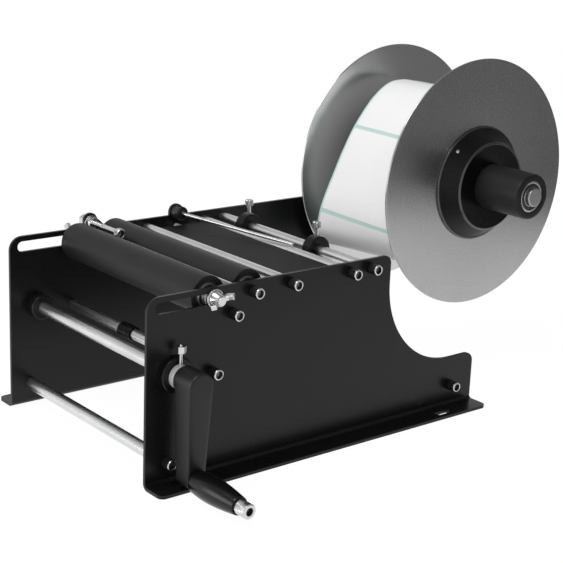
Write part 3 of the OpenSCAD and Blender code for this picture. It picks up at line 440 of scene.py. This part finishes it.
def socket_head(r, h, hexagon, depth, sunk, shank_r, shank_l, barrel=BRIGHT):
    """Profile of a socket screw, from its point to its head's end at h, with a dark socket: its
    dark is painted shade in the recess.
    """
    return [
        (-shank_l, 0, BRIGHT), (-shank_l, shank_r - 0.6, BRIGHT), (0.6 - shank_l, shank_r, BRIGHT),
        (0, shank_r, BRIGHT), (0, r - 0.4, barrel), (0.4, knurl(r), barrel),
        (h - 1.0, knurl(r), barrel), (h - 0.75, r - 0.1, BRIGHT), (h - 0.25, r - 0.35, BRIGHT),
        (h, r - 0.8, BRIGHT), (h, hexagon / 2 + 0.7, BRIGHT), (h - sunk, hexagon / 2 + 0.5, BRIGHT),
        (h - sunk - 0.15, hex_r(hexagon), DARK), (h - depth, hex_r(hexagon - 0.05), DARK),
        (h - depth - 0.6, 0, SOCKET_FLOOR)
    ]


bm = bmesh.new()
for side in (1, -1):
    for y, z in ROD_PLACES:
        turned(bm, socket_head(5, 10.3, 6, 4, 0.3, 3, 15, DARK), along_x(y, z, PLATE_X, side))
put(as_object("rod_screws_detail", bm, SMOOTH_LEAST), "rod_screws", SCREW_MATS)

# Bottle stop: a screw that is threaded along its outer part
STOP_L, STOP_R, THREAD_ROOT_R, THREAD_TURNS, THREAD_END = 65, 3, 2.62, 38, -26
STOP_HEAD_X = -64.3
bm = bmesh.new()
stop = socket_head(5, 6, 5, 4, 0.3, STOP_R, STOP_L)
thread = []
for k in range(THREAD_TURNS):
    thread += [(0.6 - STOP_L + k, STOP_R, 0), (1.1 - STOP_L + k, THREAD_ROOT_R, 0)]
turned(bm, stop[:2] + thread + [(THREAD_END, STOP_R, 0)] + stop[3:], along_x(*STOP, STOP_HEAD_X))
put(as_object("stop_screw_detail", bm, SMOOTH_LEAST), "stop_screw", SCREW_MATS)

# Grip bolt
BOLT_HEAD_X = 214.59
bm = bmesh.new()
turned(bm, socket_head(6.5, 8, 6, 5, 0.4, 4, 80.6), along_x(*GRIP, BOLT_HEAD_X), 88)
put(as_object("grip_bolt_detail", bm, SMOOTH_LEAST), "grip_bolt", SCREW_MATS)

# Bush of the grip: its head carries on the bolt head's knurl
bm = bmesh.new()
turned(bm, [(150, 4.05, 0), (150, 5.45, 0), (206.6, 5.45, 0), (206.6, knurl(6.5), 0),
            (214.4, knurl(6.5), 0), (214.6, 6.1, 0), (214.6, 4.05, 0)], along_x(*GRIP), 88, True)
put(as_object("grip_bush_turned", bm, SMOOTH_LEAST), "grip_bush")

# Grip: its end covers the foot of the bush's head
GRIP_X0, GRIP_L, GRIP_OVER = 150.3, 56.0, 3.0
GRIP_FOOT_R, GRIP_END_R, GRIP_WIDEST_R, GRIP_SWELL = 10, 8, 23 / 2, 0.4
GRIP_WIDEST_POWER = 0.85                 # sets the widest place a little before the middle
GRIP_STEPS = 40


def grip_r(share):
    """The grip's radius at a share of its length."""
    cone = GRIP_FOOT_R - (GRIP_FOOT_R - GRIP_END_R) * share
    swell = GRIP_WIDEST_R - GRIP_FOOT_R + 2 * GRIP_SWELL
    return cone + swell * math.sin(math.pi * share ** GRIP_WIDEST_POWER)


bm = bmesh.new()
grip_all = GRIP_L + GRIP_OVER
grip_line = [(0, 5.55, 0), (0, 9.0, 0, 0.4)]
grip_line += [(grip_all * k / GRIP_STEPS, grip_r(k / GRIP_STEPS), 0) for k in range(1, GRIP_STEPS)]
grip_line += [(grip_all, 7.9, 0, 0.5), (grip_all, 7.1, 0), (GRIP_L, 7.1, 0), (GRIP_L, 5.55, 0)]
turned(bm, soft(grip_line), along_x(*GRIP, GRIP_X0), loop=True)
put(as_object("crank_grip_turned", bm, SMOOTH_MOST), "crank_grip")

# Thumb screws of the guide collars
THUMB_FOOT_Z = 164.3
for node, x in (("left_thumb_screw", -68.5), ("right_thumb_screw", 37)):
    bm = bmesh.new()
    turned(bm, [(0, 0, 0), (0, 1.4, 0), (0.6, 2, 0), (15.7, 2, 0), (15.7, 3.5, 0),
                (16.1, knurl(4.2, 0.3), 0), (20.9, knurl(4.2, 0.3), 0), (21.5, 3.6, 0),
                (21.7, 3.1, 0), (21.4, 2.6, 0), (21.3, 0, 0)],
           along_z(x, COLLAR_ROD_Y, THUMB_FOOT_Z), 64)
    put(as_object(node + "_detail", bm, SMOOTH_LEAST), node)

# Near hub: lip, cone and a thin raised rim round a sunk face, with a cone-point screw in the cone
# The lip's rounded edge and the rim's faces take the lighter rim material: painted highlight
HUB_SCREW_X, HUB_SCREW_TURN = 37.8, 136
MOULDED, STEEL, RIM = 0, 1, 2            # places in the hub's materials
bm = bmesh.new()
turned(bm, soft([
    (15, 23.55, MOULDED), (15, 37.9, MOULDED, 1), (32, 37.9, MOULDED), (32, 60, MOULDED, 0.3),
    (34.5, 60, RIM, 1.9), (34.5, 57.4, MOULDED, 0.6), (50.4, 46.6, MOULDED, 1.5),
    (52, 45.2, RIM, 0.7), (52, 43.9, RIM, 0.4), (51.1, 43.7, MOULDED, 0.3),
    (51.1, 23.55, MOULDED, 0.5)]), along_x(*REEL), 192, True)
turned(bm, [(48, 0, STEEL), (48, 2.4, STEEL), (54.6, 2.4, STEEL), (55.2, 1.9, STEEL),
            (55.9, 1.2, STEEL), (55.9, 0, STEEL)],
       outward(HUB_SCREW_X, *REEL, math.radians(HUB_SCREW_TURN)), 24)
put(as_object("near_hub_turned", bm, SMOOTH_LESS), "near_hub",
    (M["black_plastic"], M["screw_steel"], RIM_HIGHLIGHT))

# Reel tube, with a seat for a bearing in each end
bm = bmesh.new()
turned(bm, soft([
    (-106, 16.05, 0), (-106, 23.5, 0, 1.5), (108, 23.5, 0, 2.6), (108, 16.05, 0, 0.4),
    (98, 16.05, 0), (98, 14, 0), (-96, 14, 0), (-96, 16.05, 0)], 6), along_x(*REEL), 128, True)
put(as_object("reel_tube_turned", bm, SMOOTH_LESS), "reel_tube")

# Bearings
RING, SHIELD = 0, 1                      # places in a bearing's materials
RING_SHARE, SHIELD_SUNK, SHIELD_GAP = 0.27, 0.5, 0.2


def bearing(bm, axis, x0, way, r_out, r_in, width):
    """A shielded ball bearing: its rings bright, its shield dark and a little sunk."""
    wall = (r_out - r_in) * RING_SHARE
    profile = [(0, r_out, RING, 0.3), (0, r_out - wall, RING, 0.2),
               (SHIELD_SUNK, r_out - wall - SHIELD_GAP, SHIELD),
               (SHIELD_SUNK, r_in + wall + SHIELD_GAP, SHIELD), (0, r_in + wall, RING, 0.2),
               (0, r_in, RING, 0.3), (width, r_in, RING), (width, r_out, RING)]
    turned(bm, soft(profile, 3), lambda u, p, q: P(x0 + way * u, axis[0] + p, axis[1] + q),
           loop=True)


bm = bmesh.new()
for x0, way in ((107, -1), (-105, 1)):
    bearing(bm, REEL, x0, way, 16, 7.55, 9)
put(as_object("reel_bearings_turned", bm, SMOOTH_LESS), "reel_bearings", (M["screw_steel"], SEAL))
for node, axis in (("front_roller_bearings", FRONT_ROLLER), ("rear_roller_bearings", REAR_ROLLER)):
    bm = bmesh.new()
    for way in (1, -1):
        bearing(bm, axis, 106.5 * way, -way, 11, 5.05, 6)
    put(as_object(node + "_turned", bm, SMOOTH_LESS), node, (M["bright_steel"], SEAL))

# Label roll: white labels on a teal liner, wound; the gaps between labels show as thin lines
ROLL_X0, ROLL_X1, ROLL_R, ROLL_BORE_R = -70.95, 29.4, 91.5, 41.05
ROLL_GAP_TURNS = (30.5, -30.5, -92.5, -153.5)
ROLL_GAP_HALF = 1.0                      # degrees
LABEL, CUT_EDGE, GAP_LINE = 0, 1, 2      # places in the roll's materials
bm = bmesh.new()
turned(bm, soft([(ROLL_X0, ROLL_BORE_R, CUT_EDGE), (ROLL_X0, ROLL_R, CUT_EDGE, 0.3),
                 (ROLL_X1, ROLL_R, LABEL, 0.3), (ROLL_X1, ROLL_BORE_R, CUT_EDGE)], 2),
       along_x(*REEL), 360, True)
middle = P(0, *REEL)
for f in bm.faces:
    c = f.calc_center_median() - middle
    if math.hypot(c.y, c.z) > (ROLL_R - 0.2) * MM:
        turn = math.degrees(math.atan2(c.z, c.y))
        if any(abs((turn - gap + 180) % 360 - 180) < ROLL_GAP_HALF for gap in ROLL_GAP_TURNS):
            f.material_index = GAP_LINE
put(as_object("label_roll_wound", bm, SMOOTH_LESS), "label_roll", (M["label_paper"], WOUND, LINER))

# Loose outer turn: its left edge stands a little further out than its right edge. The points are
# (y, z) from the reel's axis, and the whole part of a place t along it is a point's number.
WEB_L = [(36.5, 84.6), (16.0, 90.9), (-2.0, 93.8), (-19.2, 96.0), (-39.1, 93.2), (-61.0, 78.3),
         (-83.6, 51.6), (-98.8, 26.1), (-111.9, -0.7), (-123.3, -25.3), (-128.5, -43.5),
         (-129.5, -58), (-121, -70), (-103, -76), (-73, -80.5), (-46, -84.5), (-22, -90.0),
         (2, -92.3)]
WEB_R = [(36.5, 84.6), (16.0, 90.9), (-2.0, 93.0), (-19.5, 94.2), (-39.1, 90.8), (-61.0, 77.2),
         (-81.5, 51.6), (-95.0, 26.1), (-107.5, -0.7), (-117.0, -25.5), (-119.5, -42.5),
         (-116.5, -55.5), (-108, -67), (-93, -75), (-71, -80), (-46, -84.5), (-22, -90),
         (2, -92.3)]
WEB_X0, WEB_X1 = -70.9, 29.3
WEB_START, WEB_END = 1, 15.9             # places along it
WEB_STEPS = 600
LINER_TOP, LINER_BOTTOM = 0.15, 0.5      # depths under the outer face
LABEL_TOP, LABEL_BOTTOM = 0.0, 0.3
LABEL_LEFT, LABEL_RIGHT = 0.024, 0.992   # shares of the web's width
LABEL_CORNER = 2.0
LABEL_GAP = 4.2
LABEL_LEAST = 8                          # a shorter piece of a label is left out
# How far a label leans over the web's width, at the first gap and at the next
SKEWS = (2.4, 5.5)
LINER_PLACE = 1                          # place in the web's materials
SHEET_ROWS, SHEET_COLS, CORNER_ROWS = 90, 10, 6


def curve(points, t):
    """Catmull-Rom line through the points."""
    i = min(int(t), len(points) - 3)
    t -= i
    a, b, c, d = (Vector(p) for p in points[i - 1:i + 3])
    return 0.5 * (2 * b + (c - a) * t + (2 * a - 5 * b + 4 * c - d) * t ** 2
                  + (3 * b - a - 3 * c + d) * t ** 3)


def web_at(t, share, depth):
    """A point on the loose turn: along it, across it from the left, and under its outer face."""
    p, q = (curve(WEB_L, s).lerp(curve(WEB_R, s), share) for s in (t, t + 0.01))
    d = (q - p).normalized()
    p = p - Vector((d.y, -d.x)) * depth
    return P(WEB_X0 + (WEB_X1 - WEB_X0) * share, REEL[0] + p.x, REEL[1] + p.y)


PLACES = [WEB_START + (WEB_END - WEB_START) * k / WEB_STEPS for k in range(WEB_STEPS + 1)]
LENGTHS = [0.0]                          # lengths along the web's middle up to each of the places
for k in range(WEB_STEPS):
    step = web_at(PLACES[k + 1], 0.5, 0) - web_at(PLACES[k], 0.5, 0)
    LENGTHS.append(LENGTHS[-1] + step.length / MM)


def at_length(s):
    """The place at a length along the web."""
    k = max(i for i in range(WEB_STEPS) if LENGTHS[i] <= max(s, 0.0))
    part = (s - LENGTHS[k]) / (LENGTHS[k + 1] - LENGTHS[k])
    return PLACES[k] + (PLACES[k + 1] - PLACES[k]) * min(max(part, 0), 1)


def length_at(t):
    """The length along the web up to a place."""
    return LENGTHS[min(range(WEB_STEPS + 1), key=lambda i: abs(PLACES[i] - t))]


# Lengths along the web to the middles of the two gaps that the photo shows
GAP_ONE, GAP_TWO = length_at(6.0) + 2.5, length_at(9.55) + 1.5
PITCH = GAP_TWO - GAP_ONE


def skew_at(s):
    """How far a label leans over the web's width at this length along it."""
    return SKEWS[0] + (SKEWS[1] - SKEWS[0]) * (s - GAP_ONE) / PITCH


def sheet(bm, s0, s1, w0, w1, corner, top, bottom, mat):
    """A closed thin sheet on the loose turn, with round corners; labels lean, the liner doesn't."""
    rows = sorted({s0, s1} | {s0 + (s1 - s0) * k / SHEET_ROWS for k in range(SHEET_ROWS + 1)}
                  | {e + way * corner * (1 - math.cos(math.pi / 2 * k / CORNER_ROWS))
                     for e, way in ((s0, 1), (s1, -1)) for k in range(CORNER_ROWS + 1) if corner})
    cols = SHEET_COLS
    width = WEB_X1 - WEB_X0
    grids = []
    for depth in (top, bottom):
        grid = []
        for s in rows:
            d = min(s - s0, s1 - s, corner)
            inset = corner - math.sqrt(max(corner ** 2 - (corner - d) ** 2, 0))
            a, b = w0 + inset / width, w1 - inset / width
            shares = [a + (b - a) * c / cols for c in range(cols + 1)]
            skew = 0.0 if mat == LINER_PLACE else skew_at(s)
            grid.append([bm.verts.new(web_at(at_length(s + skew * (w - 0.5)), w, depth))
                         for w in shares])
        grids.append(grid)
    up, down = grids
    n = len(rows) - 1
    quads = []
    for i in range(n):
        for c in range(cols):
            quads.append((up[i][c], up[i][c + 1], up[i + 1][c + 1], up[i + 1][c]))
            quads.append((down[i][c], down[i + 1][c], down[i + 1][c + 1], down[i][c + 1]))
        for c in (0, cols):
            quads.append((up[i][c], up[i + 1][c], down[i + 1][c], down[i][c]))
    for i in (0, n):
        for c in range(cols):
            quads.append((up[i][c], up[i][c + 1], down[i][c + 1], down[i][c]))
    for q in quads:
        bm.faces.new(q).material_index = mat


bm = bmesh.new()
total = LENGTHS[-1]
sheet(bm, 0.0, total, 0.0, 1.0, 0, LINER_TOP, LINER_BOTTOM, LINER_PLACE)
edge = GAP_ONE - PITCH
while edge < total:
    start = max(edge + LABEL_GAP / 2, 0.0)
    end = min(edge + PITCH - LABEL_GAP / 2, total)
    if end - start > LABEL_LEAST:
        sheet(bm, start, end, LABEL_LEFT, LABEL_RIGHT, LABEL_CORNER, LABEL_TOP, LABEL_BOTTOM, LABEL)
    edge += PITCH
put(as_object("label_web_sheet", bm, SMOOTH_MOST), "label_web", (M["label_paper"], LINER))

# Crank arm: one casting that tapers from the hub's end face to the grip
ARM_X0, ARM_HUB_X1, ARM_GRIP_X1 = 131.5, 155.3, 150
ARM_HUB_R, ARM_GRIP_R = 12, 9
ARM_SIDES = 64
bm = bmesh.new()
for (y, z), r, x1 in ((CRANK, ARM_HUB_R, ARM_HUB_X1), (GRIP, ARM_GRIP_R, ARM_GRIP_X1)):
    for x, inset in ((ARM_X0, 0.8), (ARM_X0 + 0.8, 0), (x1 - 1.2, 0), (x1 - 0.35, 0.35), (x1, 1.2)):
        for k in range(ARM_SIDES):
            a = 2 * math.pi * k / ARM_SIDES
            bm.verts.new(P(x, y + (r - inset) * math.cos(a), z + (r - inset) * math.sin(a)))
hull = bmesh.ops.convex_hull(bm, input=bm.verts)
inner = {v for key in ("geom_interior", "geom_unused") for v in hull[key]
         if isinstance(v, bmesh.types.BMVert)}
bmesh.ops.delete(bm, geom=list(inner), context="VERTS")
turned(bm, [(129.3, 6.05, 0), (129.3, ARM_HUB_R, 0), (134, ARM_HUB_R, 0), (134, 6.05, 0)],
       along_x(*CRANK), ARM_SIDES, True)
cast("crank_arm", bm, 0.65, 14)

# Wing nuts: a tapered boss and two thick wings that lean out
WING = [(2.0, 4.3), (2.0, 6.2), (4.2, 9.6), (10.2, 13.2), (13.1, 9.2), (9.4, 6.2), (8.0, 4.3)]
WING_HALF = 2.2
WING_NUT_X = 117.65
for node, side, turn in (("right_wing_nut", 1, 18), ("left_wing_nut", -1, 78)):
    bm = bmesh.new()
    at = along_x(*FRONT_ROLLER, WING_NUT_X, side)
    turned(bm, [(0, 4.05, 0), (0, 7, 0), (1.2, 7, 0), (8, 4.9, 0), (8, 4.05, 0)], at, 64, True)
    c, s = math.cos(math.radians(turn)), math.sin(math.radians(turn))
    for way in (1, -1):
        low, high = ([bm.verts.new(at(u, way * r * c - w * s, way * r * s + w * c))
                      for u, r in WING] for w in (-WING_HALF, WING_HALF))
        bm.faces.new(low)
        bm.faces.new(high)
        for k in range(len(WING)):
            n = (k + 1) % len(WING)
            bm.faces.new((low[k], low[n], high[n], high[k]))
    cast(node, bm, 0.3, 5)

# All the rest keeps its form and gets round edges
EDGE = (0.35, 2)                         # width in mm and segments
OWN_EDGE = {
    "front_roller_sleeve": (0.55, 3), "rear_roller_sleeve": (0.55, 3),
    "right_side_plate": (0.45, 2), "left_side_plate": (0.45, 2), "near_disc": (0.4, 2),
    "far_disc": (0.4, 2), "reel_end_cap": (0.5, 3), "left_guide_collar": (0.3, 2),
    "right_guide_collar": (0.3, 2)
}
OWN_MAT = {
    "roller_gap_strip": ALU, "front_roller_core": DULL, "rear_roller_core": DULL,
    "reel_end_cap": M["bright_steel"], "press_rod_holder": SCREW_DARK, "peel_table_studs": ALU,
    "right_shaft_bearing": M["black_paint"], "left_shaft_bearing": M["black_paint"],
    "shaft_collar": ALU, "far_disc": FAR_DISC_LIT
}
DISCS = ("near_disc", "far_disc")        # their brushed rings need an origin on the reel's axis
for node in NODES:
    if node not in done:
        dressed(node, *OWN_EDGE.get(node, EDGE), (OWN_MAT[node],) if node in OWN_MAT else None,
                P(0, *REEL) if node in DISCS else None)


# Stage and light
FLOOR_SIZE, FLOOR_Z = 60, -0.0002        # metres
FLOOR_GREY = (0.86, 0.86, 0.86, 1)
FLOOR_GLOW = 1.05
# Share of the floor's own white that the camera and reflections see; the rest shows the shadow
FLOOR_WHITE = 0.92
CARD_GREY = (0.25, 0.25, 0.25, 1)
CARD_SIZE = (1.5, 1.2)
CARD_AWAY = Vector((0.66, 0.745, 0))     # the way from the machine to the card
CARD_MIDDLE = Vector((0.0, 0.17, 0.6)) + CARD_AWAY * 0.68
WORLD_LIGHT, WORLD_REFLECTED, WORLD_SEEN = 0.512, 0.8, 1.0
DIM_FROM, DIM_TO, DIM_MOST = 0.4, 0.8, 0.496     # the world's upper part is darker in reflections


def stage_plane(name, size, place, turn, mat):
    w, h = size[0] / 2, size[1] / 2
    mesh = bpy.data.meshes.new(name)
    mesh.from_pydata([(-w, -h, 0), (w, -h, 0), (w, h, 0), (-w, h, 0)], [], [(0, 1, 2, 3)])
    mesh.materials.append(mat)
    obj = linked(name, mesh)
    obj.location, obj.rotation_euler = place, turn
    return obj


def math_node(tree, operation, *values):
    """A maths node of sockets and numbers."""
    node = tree.nodes.new("ShaderNodeMath")
    node.operation = operation
    for i, value in enumerate(values):
        if isinstance(value, float):
            node.inputs[i].default_value = value
        else:
            tree.links.new(value, node.inputs[i])
    return node.outputs[0]


def seen_rays(tree):
    """1 for rays of the camera, of reflections and through glass, 0 for light on surfaces."""
    path = tree.nodes.new("ShaderNodeLightPath")
    seen = math_node(tree, "MAXIMUM", path.outputs["Is Camera Ray"], path.outputs["Is Glossy Ray"])
    return math_node(tree, "MAXIMUM", seen, path.outputs["Is Transmission Ray"]), path


def diffuse(t, colour):
    d = t.add("BsdfDiffuse")
    d.inputs["Color"].default_value = colour
    return d


t = Tree("pale_floor")
pale = diffuse(t, FLOOR_GREY)
glow = t.add("Emission")
glow.inputs["Strength"].default_value = FLOOR_GLOW
seen, _ = seen_rays(t.mat.node_tree)
both = t.add("MixShader")
t.link(math_node(t.mat.node_tree, "MULTIPLY", seen, FLOOR_WHITE), both.inputs[0])
t.link(pale.outputs[0], both.inputs[1])
t.link(glow.outputs[0], both.inputs[2])
stage_plane("floor", (FLOOR_SIZE, FLOOR_SIZE), (0, 0, FLOOR_Z), (0, 0, 0), t.finish(both))

t = Tree("dark_card")
card = stage_plane("dark_card", CARD_SIZE, CARD_MIDDLE,
                   (math.pi / 2, 0, math.atan2(CARD_AWAY.y, CARD_AWAY.x) - math.pi / 2),
                   t.finish(diffuse(t, CARD_GREY)))
card.visible_camera = False

world = bpy.data.worlds.new("studio")
bpy.context.scene.world = world
world.use_nodes = True
tree = world.node_tree
tree.nodes.clear()
seen, path = seen_rays(tree)
level = tree.nodes.new("ShaderNodeMapRange")
level.inputs["To Min"].default_value = WORLD_LIGHT
level.inputs["To Max"].default_value = WORLD_REFLECTED
tree.links.new(seen, level.inputs["Value"])
split = tree.nodes.new("ShaderNodeSeparateXYZ")
tree.links.new(tree.nodes.new("ShaderNodeTexCoord").outputs["Generated"], split.inputs[0])
fall = tree.nodes.new("ShaderNodeMapRange")
fall.interpolation_type = "SMOOTHSTEP"
for key, value in (("From Min", DIM_FROM), ("From Max", DIM_TO), ("To Min", 0.0),
                   ("To Max", DIM_MOST)):
    fall.inputs[key].default_value = value
tree.links.new(split.outputs["Z"], fall.inputs["Value"])
dim = math_node(tree, "MULTIPLY", fall.outputs["Result"], path.outputs["Is Glossy Ray"])
lit = math_node(tree, "SUBTRACT", level.outputs["Result"], dim)
shown = math_node(tree, "MULTIPLY_ADD", path.outputs["Is Camera Ray"],
                  WORLD_SEEN - WORLD_REFLECTED, lit)
background = tree.nodes.new("ShaderNodeBackground")
background.inputs["Color"].default_value = (1, 1, 1, 1)
tree.links.new(shown, background.inputs["Strength"])
tree.links.new(background.outputs[0], tree.nodes.new("ShaderNodeOutputWorld").inputs["Surface"])


def area(name, place, aim, size, power):
    """A square lamp: places and size in metres, power in watts."""
    light = bpy.data.lights.new(name, "AREA")
    light.energy = power
    light.size = size
    obj = linked(name, light)
    obj.location = place
    obj.rotation_euler = (Vector(aim) - Vector(place)).to_track_quat("-Z", "Y").to_euler()


area("key", (-0.2, -0.9, 1.8), (0, 0, 0.15), 0.9, 15)
area("front_fill", (-0.7, -1.7, 0.3), (0, 0.2, 0.15), 0.8, 7)

bpy.context.view_layer.update()
